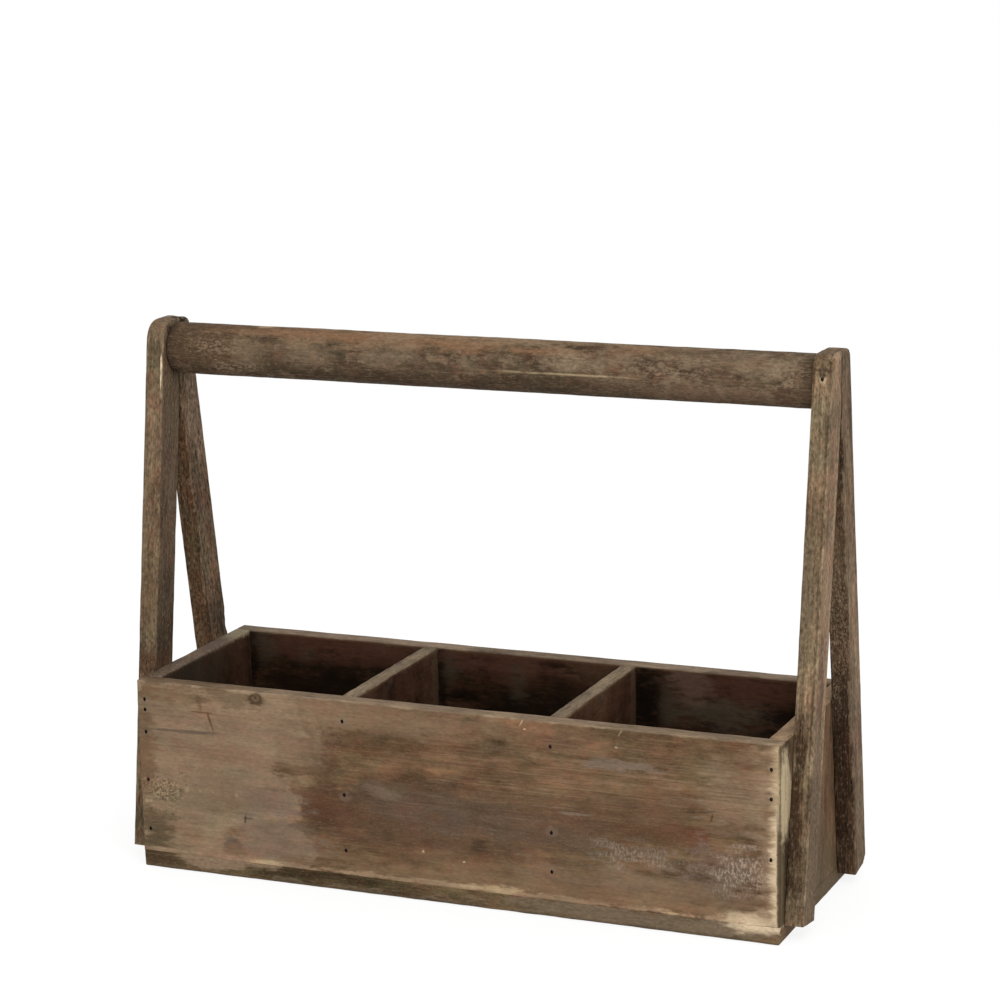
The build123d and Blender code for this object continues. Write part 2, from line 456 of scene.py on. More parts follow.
    def hollow(self, times=1.0):
        """The dark stained inside of the box, in blotches."""
        between = []
        for place, reach in ((self.y, INSIDE_REACH.y), (self.x, INSIDE_REACH.x)):
            between.append(self.rise(self.math("ABSOLUTE", place), reach + 1.4 * MM, reach + 0.5 * MM))
        down = self.rise(self.z, RIM - 0.5 * MM, RIM - 3.5 * MM, 0.97)
        above = self.rise(self.z, JOINT - 6 * MM, JOINT - 3 * MM)
        between = self.math("MULTIPLY", *between)
        share = self.math("MULTIPLY", between, self.math("MULTIPLY", down, above))
        blotch = self.math("MULTIPLY_ADD", self.figure(34, 26, detail=7.0, roughness=0.6), 0.32, 0.45)
        blotch = self.math("MULTIPLY_ADD", self.mottled, 0.06, blotch)
        inside = self.ramp(blotch, [(place, shade(colour, times)) for place, colour in INSIDE_SHADES])
        self.colour = self.blend(share, self.colour, inside)
        self.tinge(INSIDE_BLOTCH, 22, 18, 0.5, 1.5, 0.5, within=share)

    def done(self, relief=0.06 * MM):
        """Joins the finish up, with the finest grain over all of it and its grain in relief."""
        fine = self.math("MULTIPLY_ADD", self.figure(40, 0.9, detail=3.0), 0.16 * self.lines, 1.0)
        fine = self.math("MULTIPLY_ADD", self.figure(3.6, 1.6, detail=3.0), self.grit, fine)
        # The faces inside the nail holes are painted near-black: rust stain and painted shade.
        hole_stain_and_shade = self.add("ShaderNodeAttribute", "Fac", {}, attribute_name="hole_stain_and_shade")
        self.colour = self.blend(hole_stain_and_shade, self.colour, NEAR_BLACK)
        self.give(self.shader.inputs["Base Color"], self.blend(1.0, self.colour, fine, "MULTIPLY"))
        inputs = {"Value": self.ragged, "From Min": -1.0, "From Max": 1.0}
        inputs |= {"To Min": SMOOTHEST, "To Max": ROUGHEST}
        self.give(self.shader.inputs["Roughness"], self.add("ShaderNodeMapRange", 0, inputs))
        inputs = {"Height": self.height, "Distance": 4 * relief, "Strength": 0.8}
        self.give(self.shader.inputs["Normal"], self.add("ShaderNodeBump", 0, inputs))
        self.shader.inputs["Specular IOR Level"].default_value = SHEEN
        return self.material


FRONT_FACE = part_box("front_board")[0].y / MM
WASH = tone(0.265, 0.184, 0.118)
BARE = tone(0.70, 0.545, 0.365)
MOSS = tone(0.118, 0.084, 0.047)
SCRUBBED = tone(0.225, 0.165, 0.105)

# Each mark is a colour, its middle and reach in millimetres, its strength, softness and raggedness
BOTTOM_MARKS = (
    (tone(0.185, 0.136, 0.088), (140, FRONT_FACE, 6), (116, 8, 7), 0.85, 0.4, 0.2),
    (tone(0.170, 0.112, 0.070), (231, 8, 7), (6, 84, 12), 0.85, 0.2, 0.1),
    (MOSS, (-230, 4, 14), (5, 56, 18), 0.7, 0.4, 0.2),
    (MOSS, (230, 4, 14), (5, 56, 18), 0.7, 0.4, 0.2),
    (tone(0.066, 0.042, 0.022), (-216, FRONT_FACE, 5), (18, 8, 7), 0.7, 0.4, 0.2),
    (WASH, (-176, FRONT_FACE, 11), (27, 8, 7), 0.9, 0.2, 0.1),
    (WASH, (-140, FRONT_FACE, 12), (17, 8, 3.5), 0.8, 0.3, 0.2),
    (BARE, (217, FRONT_FACE, 13), (17, 8, 5), 0.95, 0.7, 0.2),
)
UNDERSIDE_MARKS = (
    (tone(0.185, 0.132, 0.082), (-60, 10), (120, 44), 0.6),
    (tone(0.060, 0.036, 0.020), (150, -14), (64, 46), 0.6),
    (tone(0.205, 0.150, 0.098), (96, 40), (70, 9), 0.6),
    (tone(0.078, 0.046, 0.025), (-176, -30), (34, 26), 0.6),
    (tone(0.050, 0.032, 0.019), (-20, -38), (6.5, 5.5), 0.8),
    (tone(0.160, 0.100, 0.056), (-20, -38), (3.4, 2.8), 0.7),
    (SCRUBBED, (0, -77), (230, 6), 0.7),
    (SCRUBBED, (0, 77), (230, 6), 0.7),
)
bottom_wood = Wood("bottom_wood", tone(0.108, 0.071, 0.038), seed=1)
bottom_wood.smudge(1.0, 1.0)
for mark in BOTTOM_MARKS:
    bottom_wood.mark(*mark)
for colour, (x, y), (x_reach, y_reach), strength in UNDERSIDE_MARKS:
    bottom_wood.mark(colour, (x, y, 0), (x_reach, y_reach, 3), strength, soft=0.5, ragged=0.25)
bottom_wood.age(0.25, 0.15, 0.25)
bottom_wood.hollow()
bottom_wood.mark(tone(0.050, 0.034, 0.018), (0, FRONT_FACE, -1), (300, 8, 3), 0.6)
bottom_wood.rub(tone(0.19, 0.14, 0.085), 0.95, 1.35, 0.5)
shape = worn_board("bottom_board", seed=1, edge_loss=0.5 * MM, warp=0.2 * MM)
bottom = put_in("bottom_board", shape, bottom_wood.done())
DOWNWARD = Vector((0, 0, -1))
LENGTHWISE = Vector((1, 0, 0))
BACKWARD = Vector((0, 1, 0))
bottom_holes = [(f"bottom_{wall}_nails", DOWNWARD, LENGTHWISE) for wall in ("front", "back")]
bottom_holes += [(f"bottom_{end}_end_nails", DOWNWARD, BACKWARD) for end in ("left", "right")]
punch(bottom, bottom_holes)

# End boards
# Two softwood boards that stand on the bottom board and close the box's ends. The front and back boards lap
# over their edges, and the legs are nailed to them from outside. Their outsides are painted dark beside the
# front and back boards, as painted shade in the gaps between those boards and the legs.
GAP_SHADE = tone(0.030, 0.018, 0.012)
END_GRAIN = tone(0.50, 0.395, 0.245)
DUST = tone(0.062, 0.047, 0.030)
PALE_OLIVE = tone(0.270, 0.225, 0.140)
GREY_MAUVE = tone(0.112, 0.078, 0.064)
INSIDE_FACE = INSIDE_REACH.y / MM
END_RIMS = {"left_end_board": tone(0.146, 0.106, 0.074), "right_end_board": tone(0.290, 0.195, 0.115)}
for seed, (node, rim_tone) in enumerate(END_RIMS.items(), start=2):
    side = 1 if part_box(node)[0].x > 0 else -1
    wood = Wood(f"{node}_wood", tone(0.150, 0.093, 0.054), seed, grain=ALONG_Z, lines=0.5)
    wood.smudge(0.8, 0.6)
    # The dark bands beside the front and back boards are painted shade in the gaps by the legs.
    for row in (-1, 1):
        wood.mark(GAP_SHADE, (side * 230, row * 65, 85), (5, 8, 62), 0.9, soft=0.3, ragged=0.12)
    wood.mark(END_GRAIN, (230, -66, 97), (5, 9, 26), 0.9, soft=0.3, ragged=0.12)
    wood.mark(tone(0.112, 0.078, 0.044), (side * 230, -10, 40), (5, 34, 30), 0.5)
    wood.mark(MOSS, (side * 230, 4, 16), (5, 56, 18), 0.7)
    wood.age(0.25, 0.15, 0.3)
    wood.hollow()
    wood.mark(tone(0.036, 0.027, 0.017), (side * 218, -22, 112), (4, 46, 36), 0.75, ragged=0.3)
    wood.mark(DUST, (side * 218, INSIDE_FACE, 112), (4, 2.5, 40), 0.7)
    wood.rim(rim_tone, 0.85)
    wood.mark(PALE_OLIVE, (-224, 54, RIM / MM), (8, 17, 3), 0.7)
    wood.mark(GREY_MAUVE, (-224, 22, RIM / MM), (8, 20, 3), 0.6)
    wood.rub(tone(0.24, 0.17, 0.105), 0.95, 1.3, 0.5)
    shape = worn_board(node, seed, edge_loss=0.6 * MM, warp=0.25 * MM)
    put_in(node, shape, wood.done())

# Dividers
# Two thinner boards across the box, nailed through its front and back, that make the three compartments.
# Their top edges are rubbed pale and have lost splinters along the right-hand arris.
DIVIDER_TONE = tone(0.128, 0.081, 0.046)

# How light each divider is inside the box, and its chips: their middles, reaches and depths in millimetres
DIVIDERS = {
    "left_divider": (1.25, (((-68, -4, 134), (4, 16, 5), 2.4), ((-69, -48, 134), (3, 6, 4), 1.6))),
    "right_divider": (1.75, (((80, -20, 134), (4, 7, 5), 2.2), ((80, 34, 134), (3, 12, 3), 1.3))),
}
for seed, (node, (times, chips)) in enumerate(DIVIDERS.items(), start=4):
    wood = Wood(f"{node}_wood", DIVIDER_TONE, seed, grain=ALONG_Y, lines=0.4)
    wood.smudge(0.9, 1.0)
    wood.age(0.25, 0.2, 0.3)
    wood.hollow(times)
    right_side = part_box(node)[1].x / MM
    wood.mark(tone(0.098, 0.062, 0.036), (right_side, INSIDE_FACE - 7, 100), (4, 5.5, 60), 0.75, soft=0.3)
    wood.rim(tone(0.190, 0.142, 0.090), 0.9)
    wood.rub(tone(0.25, 0.19, 0.125), 0.95, 1.3, 0.4)
    shape = worn_board(node, seed, edge_loss=0.6 * MM, warp=0.25 * MM, chips=chips)
    put_in(node, shape, wood.done())

# Front board
# The long wall that faces the viewer, nailed to the edges of the ends and dividers with punched nails.
# A pale wash covers its left third, and its lower arris and right end are rubbed to bare cream wood.
CREAM = tone(0.48, 0.355, 0.210)
PINK = tone(0.222, 0.138, 0.085)
BISCUIT = tone(0.200, 0.135, 0.088)
SAND = tone(0.206, 0.129, 0.073)
RUBBED = tone(0.340, 0.230, 0.145)
ASH = tone(0.198, 0.145, 0.106)
CHALK = tone(0.310, 0.240, 0.185)
SLATE = tone(0.112, 0.080, 0.058)
DIM = tone(0.116, 0.067, 0.039)
RED = tone(0.100, 0.049, 0.027)
DEEP_RED = tone(0.076, 0.034, 0.018)
UMBER = tone(0.096, 0.055, 0.027)
RUST = tone(0.132, 0.060, 0.035)
BRICK = tone(0.112, 0.046, 0.027)
SADDLE = tone(0.178, 0.108, 0.060)
OLIVE = tone(0.116, 0.083, 0.046)
INK = tone(0.055, 0.036, 0.022)
ARRIS_WEAR_AND_HIGHLIGHT = tone(0.34, 0.25, 0.16)
SEAM_DIRT = tone(0.060, 0.042, 0.024)

# Each mark is a colour, its middle and reach on the board's face, its strength, softness and raggedness,
# and the degrees that it is turned by, if it is
EARLY_MARKS = (
    (DIM, (5, 54), (112, 24), 0.75, 0.5, 0.15),
    (SLATE, (-20, 68), (54, 12), 0.5, 0.5, 0.25),
    (SLATE, (60, 58), (62, 12), 0.45, 0.5, 0.25),
    (DIM, (130, 74), (76, 18), 0.75, 0.5, 0.2),
    (SAND, (110, 98), (112, 12), 0.35, 0.6, 0.25),
    (SAND, (60, 30), (170, 8), 0.35, 0.6, 0.2),
    (PINK, (-70, 124), (104, 12), 0.85, 0.35, 0.15),
    (PINK, (40, 124), (70, 10), 0.3, 0.5, 0.25),
    (RED, (-54, 106), (42, 8), 0.3, 0.5, 0.3),
    (RED, (-88, 58), (25, 15), 0.85, 0.4, 0.15),
    (DEEP_RED, (-93, 54), (13, 8), 0.5, 0.5, 0.2),
    (RED, (-86, 92), (6, 9), 0.6, 0.35, 0.25),
    (UMBER, (152, 63), (26, 7), 0.6, 0.4, 0.25),
    (RUST, (164, 67), (20, 7), 0.7, 0.45, 0.25),
    (BRICK, (175, 69.5), (9, 3.6), 0.85, 0.4, 0.3, -12),
    (WASH, (203, 96), (27, 25), 0.6, 0.5, 0.2),
    (ASH, (124, 109), (25, 4), 0.8, 0.35, 0.3),
    (SLATE, (190, 47), (24, 12), 0.6, 0.4, 0.25),
)
LATE_MARKS = (
    (UMBER, (-111, 81), (18, 4.2), 0.9, 0.3, 0.25, 4),
    (ASH, (-132, 57), (26, 10), 0.6, 0.5, 0.25),
    (PINK, (-108, 90), (15, 12), 0.5, 0.5, 0.25),
    (PINK, (-160, 88), (17, 5), 0.4, 0.5, 0.3),
    (PINK, (-164, 52), (14, 9), 0.4, 0.4, 0.2),
    (SADDLE, (-203, 126), (27, 6), 0.7, 0.4, 0.3),
    (shade(SADDLE, 0.85), (-228, 80), (11, 30), 0.8, 0.4, 0.25),
    (ASH, (-130, 28), (32, 17), 0.6, 0.5, 0.25),
    (OLIVE, (-220, 27), (15, 14), 0.85, 0.4, 0.3),
    (INK, (-222, 25), (8, 9), 0.35, 0.6, 0.35),
    (OLIVE, (-160, 128), (26, 6.5), 0.6, 0.5, 0.3),
    (UMBER, (-138.5, 129), (7.0, 6.2), 0.6, 0.4, 0.15),
    (INK, (-138.5, 129), (5.2, 5.0), 0.8, 0.25, 0.12),
    (SADDLE, (-138.5, 129.3), (2.8, 2.6), 0.7, 0.3, 0.15),
    (INK, (-138.8, 129.8), (1.1, 1.1), 0.8, 0.3, 0.1),
    (SLATE, (-199, 100.4), (29, 1.0), 0.85, 0.5, 0.2, 1.5),
    (ASH, (-213, 97.2), (14, 0.9), 0.6, 0.5, 0.2, 1.5),
    (UMBER, (-174, 109.5), (0.9, 6.5), 0.8, 0.4, 0.15, 18),
    (UMBER, (-182, 115.4), (8, 0.6), 0.75, 0.4, 0.2),
    (UMBER, (-182, 122), (1.6, 6), 0.5, 0.4, 0.2, 12),
    (INK, (-150, 42.5), (0.8, 3.2), 0.8, 0.35, 0.1, -8),
    (INK, (-147.5, 43.4), (3.2, 0.5), 0.7, 0.4, 0.1),
    (SLATE, (-161, 25), (5.5, 6), 0.75, 0.6, 0.3),
    (SADDLE, (-159, 33), (7, 4), 0.75, 0.5, 0.3),
    (SADDLE, (-196, 26), (9, 6), 0.4, 0.5, 0.3),
    (UMBER, (23, 43), (8, 7), 0.6, 0.6, 0.35),
    (INK, (23, 43), (4, 4), 0.75, 0.6, 0.3),
    (INK, (172, 83.3), (13, 0.6), 0.8, 0.4, 0.2, 6),
    (INK, (184.6, 80.6), (0.8, 2.6), 0.8, 0.4, 0.1, -15),
    (ASH, (178, 80.8), (6, 1.0), 0.7, 0.4, 0.2, 8),
    (CREAM, (54.3, 131), (0.5, 3.0), 0.8, 0.5, 0.2, -28),
    (BARE, (56.6, 127), (1.2, 0.6), 0.8, 0.5, 0.3),
    (RUBBED, (122.5, 130.5), (0.6, 3), 0.7, 0.4, 0.1, -30),
    (CREAM, (120, 121), (1.0, 0.7), 0.8, 0.4, 0.1),
    (BARE, (12, 31), (0.9, 0.6), 0.7, 0.5, 0.2),
    (CREAM, (-17.5, 35), (0.7, 0.7), 0.8, 0.5, 0.2),
    (ASH, (-46, 72), (11, 4), 0.5, 0.4, 0.25),
    (ASH, (92, 73), (13, 0.9), 0.7, 0.4, 0.2, 1),
    (BISCUIT, (140, 26), (92, 13), 0.6, 0.5, 0.2),
    (SADDLE, (222, 90), (5, 3.2), 0.8, 0.35, 0.2),
    (SAND, (75, 18), (190, 6), 0.95, 0.4, 0.2),
    (RUBBED, (70, 13.4), (190, 1.9), 0.85, 0.5, 0.35),
    (CREAM, (32, 14.8), (20, 2.3), 0.7, 0.5, 0.35),
    (CREAM, (156, 12.9), (9, 1.6), 0.7, 0.4, 0.3),
    (CREAM, (-136, 13.2), (9, 2.4), 0.7, 0.9, 0.3),
    (RUBBED, (-213, 13.6), (15, 1.4), 0.7, 0.4, 0.3),
    (BARE, (218, 13.5), (18, 6), 1.0, 0.7, 0.2),
    (RUBBED, (-228.6, 130), (2.2, 3.4), 0.8, 0.4, 0.2),
)

# The patches of the wash: their middles and reaches on the board's face, and their softness
WASH_SPOTS = (
    ((-178, 102), (86, 44), 0.22),
    ((-150, 56), (43, 22), 0.05),
    ((-136, 24), (40, 20), 0.04),
    ((-205, 60), (76, 64), 0.06),
)
WASH_RAGGED = 0.035
WASH_COVER = 0.85
MARK_DEPTH = 6

# Each scuff is a colour, its middle and reach on the board's face, the sizes of its strokes and its strength
LEFT_SCUFFS = (
    (INK, (-213, 56), (15, 11), (3.2, 4, 2.6), 0.7),
    (CREAM, (-213, 56), (14, 10), (1.7, 4, 1.7), 0.55),
)
RIGHT_SCUFFS = (
    (CHALK, (133, 50), (22, 8), (1.6, 4, 2.8), 0.6),
    (shade(CHALK, 1.25), (206, 48), (17, 14), (1.5, 4, 3.0), 0.85),
    (ASH, (168, 49), (13, 8), (2.2, 4, 4), 0.6),
    (INK, (186, 46), (8, 9), (2.6, 4, 4), 0.45),
)

# Pale specks with their radii, and ashen spots round the nails
PALE_SPECKS = (
    (-194, 59, 1.7), (-184, 59, 1.0), (-174, 59, 1.1), (-156, 59, 1.2), (-226, 48, 1.6), (-223, 48, 1.1)
)
ASH_SPOTS = ((-73.5, 118), (-73.5, 67), (75, 59), (222, 96.5))
front_wood = Wood("front_wood", tone(0.138, 0.084, 0.047), seed=6, lines=0.26, grit=0.07)
front_wood.smudge(0.85, 0.8)


def stain(wood, level, marks):
    """Adds marks to one of a long board's faces, whose Y is level."""
    for colour, (x, z), (x_reach, z_reach), *manner in marks:
        wood.mark(colour, (x, level, z), (x_reach, MARK_DEPTH, z_reach), *manner)


def scrape(wood, level, scuffs):
    """Adds scuffed places to one of a long board's faces, whose Y is level."""
    for colour, (x, z), (x_reach, z_reach), strokes, strength in scuffs:
        wood.scuff(colour, (x, level, z), (x_reach, MARK_DEPTH, z_reach), strokes, strength)


stain(front_wood, FRONT_FACE, EARLY_MARKS)
streaked = front_wood.spot((120, FRONT_FACE, 98), (125, MARK_DEPTH, 20), soft=0.4, ragged=0.2)
front_wood.tinge(INK, 50, 1.2, 0.3, 1.1, 0.3, within=streaked)
front_wood.tinge(RUBBED, 44, 1.0, 0.3, 1.1, 0.30, within=streaked)
washed = 0.0
for (x, z), (x_reach, z_reach), soft in WASH_SPOTS:
    reach = (x_reach, MARK_DEPTH, z_reach)
    reached = front_wood.spot((x, FRONT_FACE, z), reach, soft, WASH_RAGGED, edge=front_wood.mottled)
    washed = front_wood.math("MAXIMUM", washed, reached)
washed = front_wood.math("MULTIPLY", washed, WASH_COVER)
front_wood.colour = front_wood.blend(washed, front_wood.colour, WASH)
stain(front_wood, FRONT_FACE, LATE_MARKS)
stain(front_wood, FRONT_FACE, [(OLIVE, (-213, 56), (13, 9), 0.5, 0.4, 0.25)])
scrape(front_wood, FRONT_FACE, LEFT_SCUFFS)
stain(front_wood, FRONT_FACE, [(RUBBED, (x, z), (radius, radius), 0.9) for x, z, radius in PALE_SPECKS])
stain(front_wood, FRONT_FACE, [(ASH, (133, 50), (24, 9), 0.35, 0.6, 0.3)])
stain(front_wood, FRONT_FACE, [(ASH, (204, 48), (22, 16), 0.5, 0.6, 0.3)])
scrape(front_wood, FRONT_FACE, RIGHT_SCUFFS)
stain(front_wood, FRONT_FACE, [(ASH, spot, (4.2, 3.6), 0.35) for spot in ASH_SPOTS])
front_wood.smudge(0.4, 0.5)
front_wood.age(0.18, 0.15, 0.18)
RIGHT_END_RUBS = (
    (RUBBED, (236, 58), (18, 96), 0.6, 0.5, 0.15),
    (CREAM, (234, 58), (8.5, 96), 0.75, 0.5, 0.12),
    (CREAM, (234, 62), (10, 96), 0.6, 0.35, 0.07, 0, front_wood.frayed),
    (SADDLE, (225, 87), (6, 4), 0.7, 0.5, 0.3),
    (BARE, (231, 36), (6, 56), 0.7, 0.5, 0.3),
)
stain(front_wood, FRONT_FACE, RIGHT_END_RUBS)
front_wood.mark(shade(OLIVE, 0.85), (230, -73.5, 60), (2.5, 12, 90), 0.92, soft=0.2, ragged=0.05)
front_wood.mark(END_GRAIN, (230, -71.5, 97), (2.5, 12, 28), 1.0, soft=0.3, ragged=0.12)
front_wood.mark(SEAM_DIRT, (230, FRONT_FACE + 0.8, 60), (1.2, 1.4, 80), 0.7, ragged=0.15)
front_wood.hollow()
front_wood.rim(tone(0.200, 0.145, 0.094), 0.85)
front_wood.mark(UMBER, (-196, -73, RIM / MM), (66, 12, 2.2), 0.5)
# The thin pale line along the top front arris is rubbed bare wood with a painted highlight on it.
top_arris = front_wood.rise(front_wood.z, RIM - 5 * MM, RIM - 3 * MM)
front_wood.rub(ARRIS_WEAR_AND_HIGHLIGHT, 0.82, 1.12, 0.6, within=top_arris)
FRONT_CHIPS = (((-172, FRONT_FACE, 134), (26, 5, 2.5), 1.0), ((222, FRONT_FACE, 12), (14, 5, 6), 0.7))
shape = worn_board("front_board", seed=6, edge_loss=0.7 * MM, warp=0.3 * MM, chips=FRONT_CHIPS)
front = put_in("front_board", shape, front_wood.done())
UPWARD = Vector((0, 0, 1))
UPRIGHTS = ("left_end_board", "left_divider", "right_divider", "right_end_board")
punch(front, [(f"front_{upright}_nails", -BACKWARD, UPWARD) for upright in UPRIGHTS])

# Back board
# The same wall behind, of the same softwood and nailed in the same way. It is plainer and greyer on its
# outside, and dark and reddish inside like the rest of the compartments.
DEPTH_SHADE = tone(0.007, 0.0042, 0.002)
MAROON = tone(0.080, 0.034, 0.021)
MAUVE = tone(0.108, 0.064, 0.044)
TEAK = tone(0.080, 0.045, 0.024)

# Each mark is a colour, its middle and reach on the board's inner face and its strength; the near-black ones,
# low down and in the corners by the end and the dividers, are painted shade
INNER_MARKS = (
    (MAROON, (-150, 125), (72, 10), 0.8),
    (DEPTH_SHADE, (-150, 95), (84, 18), 0.85),
    (DEPTH_SHADE, (-216, 110), (3, 40), 0.8),
    (DUST, (-206, 124), (8, 12), 0.6),
    (DUST, (-174, 119), (6, 6), 0.4),
    (DEPTH_SHADE, (-67, 104), (4, 40), 0.8),
    (DUST, (-60, 122), (6, 14), 0.7),
    (MAROON, (-18, 127), (42, 8), 0.8),
    (DEPTH_SHADE, (8, 95), (64, 16), 0.85),
    (DUST, (-8, 112), (6, 11), 0.5),
    (TEAK, (46, 128), (18, 8), 0.6),
    (MAROON, (164, 123), (46, 11), 0.9),
    (shade(DUST, 1.25), (138, 105), (32, 10), 0.75),
    (DEPTH_SHADE, (88, 106), (13, 34), 0.95),
    (DUST, (103, 108), (7, 15), 0.7),
    (MAUVE, (120, 123), (12, 11), 0.95),
    (DEPTH_SHADE, (200, 103), (24, 17), 0.9),
)
BACK_MARKS = (
    (PINK, (-60, 118), (130, 15), 0.6, 0.5, 0.2),
    (WASH, (130, 92), (100, 36), 0.65, 0.3, 0.2),
    (WASH, (176, 40), (46, 22), 0.6, 0.2, 0.15),
    (RED, (-150, 60), (54, 26), 0.7, 0.5, 0.25),
    (DEEP_RED, (-168, 52), (18, 9), 0.5, 0.5, 0.3),
    (SLATE, (16, 62), (84, 15), 0.5, 0.5, 0.25),
    (OLIVE, (214, 28), (24, 20), 0.7, 0.5, 0.3),
    (SADDLE, (-204, 112), (30, 18), 0.6, 0.5, 0.3),
    (UMBER, (64, 40), (26, 9), 0.7, 0.4, 0.3, 4),
    (ASH, (-30, 98), (38, 5), 0.7, 0.4, 0.3),
    (UMBER, (-96, 84), (8, 7), 0.6, 0.4, 0.2),
    (INK, (-96, 84), (5.4, 5), 0.8, 0.25, 0.15),
    (SADDLE, (-96, 84.4), (2.8, 2.4), 0.7, 0.3, 0.15),
    (INK, (100, 72), (32, 0.7), 0.8, 0.5, 0.2, 2),
    (UMBER, (40, 108), (0.8, 8), 0.7, 0.4, 0.15, -20),
    (SAND, (-10, 20), (226, 7), 0.7, 0.4, 0.2),
    (RUBBED, (-30, 13.4), (196, 1.9), 0.85, 0.5, 0.35),
    (CREAM, (-222, 15), (14, 5), 0.8, 0.7, 0.25),
    (RUBBED, (-231, 62), (7, 66), 0.7, 0.5, 0.25),
    (RUBBED, (231, 90), (6, 40), 0.6, 0.5, 0.25),
)
BACK_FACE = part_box("back_board")[1].y / MM
back_wood = Wood("back_wood", tone(0.142, 0.088, 0.050), seed=7, lines=0.3, grit=0.08)
back_wood.smudge(0.9, 1.0)
stain(back_wood, BACK_FACE, BACK_MARKS)
scrape(back_wood, BACK_FACE, [(CHALK, (-60, 44), (26, 9), (1.7, 4, 2.8), 0.6)])
back_wood.smudge(0.35, 0.8)
back_wood.age(0.25, 0.2, 0.3)
back_wood.hollow()
stain(back_wood, INSIDE_FACE, [(*mark, 0.6, 0.3) for mark in INNER_MARKS])
back_wood.rim(tone(0.205, 0.152, 0.106), 0.9)
back_wood.rub(tone(0.26, 0.19, 0.13), 0.95, 1.3, 0.4)
shape = worn_board("back_board", seed=7, edge_loss=0.6 * MM, warp=0.3 * MM)
back = put_in("back_board", shape, back_wood.done())
punch(back, [(f"back_{upright}_nails", BACKWARD, UPWARD) for upright in UPRIGHTS])

# Legs
# Four sawn softwood slats, two to each A-frame, nailed flat on the end boards. Each has a square-cut foot,
# leans in and is mitred against its partner on the middle plane, with the head rounded over at the shoulder.
FOOT_HEIGHT = 11 * MM
TOP_REACH = 18 * MM
LEG_ARRIS = 0.9 * MM
LEG_CELL = 2.4 * MM
CELLS_ACROSS = 12
CELLS_THROUGH = 6
LEG_RELIEF = 0.08 * MM
LEG_TONE = tone(0.150, 0.104, 0.064)

# Each leg as it was cut and fitted by hand: its width, the rounding of its head, how much further out its
# foot stands than in the CAD, and how gritty its wood is
LEG_CUTS = {
    "left_front_leg": (25.4 * MM, 13 * MM, 0.0, 0.26),
    "left_rear_leg": (25 * MM, 8 * MM, 4 * MM, 0.42),
    "right_front_leg": (23.5 * MM, 7 * MM, 0.0, 0.30),
    "right_rear_leg": (23.5 * MM, 7 * MM, 0.0, 0.30),
}

# The tones of each leg's front edge and of its right side, where the rear legs' dark front edges are painted
# shade
LEG_TONES_AND_SHADE = {
    "left_front_leg": (tone(0.138, 0.096, 0.058), tone(0.090, 0.060, 0.038)),
    "left_rear_leg": (tone(0.067, 0.040, 0.021), tone(0.124, 0.084, 0.052)),
    "right_front_leg": (tone(0.200, 0.146, 0.087), tone(0.246, 0.168, 0.106)),
    "right_rear_leg": (tone(0.066, 0.041, 0.024), tone(0.148, 0.101, 0.064)),
}

# Each mark on a leg is a colour, its middle and reach in millimetres and its strength
LEG_MARKS = {
    "left_front_leg": (
        (tone(0.200, 0.140, 0.084), (-236, -19, 366), (9, 20, 11), 0.5),
        (OLIVE, (-237, -22, 353), (6, 6, 9), 0.6),
        (RED, (-236, -26, 328), (6, 6, 13), 0.3),
        (tone(0.122, 0.083, 0.053), (-230, -20, 292), (3, 15, 60), 0.6),
        (OLIVE, (-237, -44, 190), (9, 14, 46), 0.4),
        (INK, (-236, -48, 140), (9, 18, 12), 0.5),
        (DEEP_RED, (-236, -44, 137), (10, 16, 8), 0.6),
        (BARE, (-231.4, -23.5, 336), (0.6, 5, 14), 1.0),
        (BLACKENED, (-230, -10, 364), (2, 3.5, 2.5), 0.8),
    ),
    "left_rear_leg": (
        # A near-black patch fills the chip at the head of the left rear leg.
        (NEAR_BLACK, (-231, 7, 370), (5, 7, 4), 0.95),
        (UMBER, (-230, 3, 362), (3, 5, 4), 0.6),
        (tone(0.195, 0.132, 0.087), (-230, 20, 318), (4, 14, 42), 0.85),
        (INK, (-231, 50, 150), (6, 20, 20), 0.6),
    ),
    "right_front_leg": (
        (UMBER, (237, -18, 365), (7, 9, 6), 0.55),
        (INK, (236, -19, 361), (6, 9, 0.9), 0.7),
        (CREAM, (236.7, -20, 354.5), (2.2, 6, 2.8), 0.6),
        (INK, (236.7, -20, 357.6), (1.7, 6, 1.4), 0.9),
        (UMBER, (230.5, -22, 356), (1.6, 8, 16), 0.8),
        (tone(0.050, 0.028, 0.015), (230, -64, 88), (10, 16, 76), 0.95),
        (tone(0.155, 0.112, 0.066), (234, -40, 222), (8.5, 12, 48), 0.8),
        (tone(0.300, 0.200, 0.127), (245, -26, 214), (4, 14, 36), 0.6),
        (tone(0.115, 0.079, 0.047), (245, -54, 52), (4, 24, 82), 0.85),
        (RED, (244, -40, 120), (3, 5, 110), 0.15),
        # The dark line down the front face, beside its arris with the outer side, is painted shade.
        (INK, (241.6, -40, 200), (0.9, 60, 260), 0.5),
        (RUST, (232, -70, 10), (5, 9, 5), 0.6),
        (SLATE, (244, -60, 12), (5, 6, 5), 0.5),
    ),
    "right_rear_leg": (
        (SADDLE, (236, 20, 268), (9, 9, 38), 0.8),
        # The very dark patch low on the front edge, inside the A-frame, is painted shade too.
        (tone(0.030, 0.016, 0.009), (233, 38, 70), (10, 14, 74), 0.85),
        (OLIVE, (244, 60, 40), (3, 16, 40), 0.5),
    ),
}


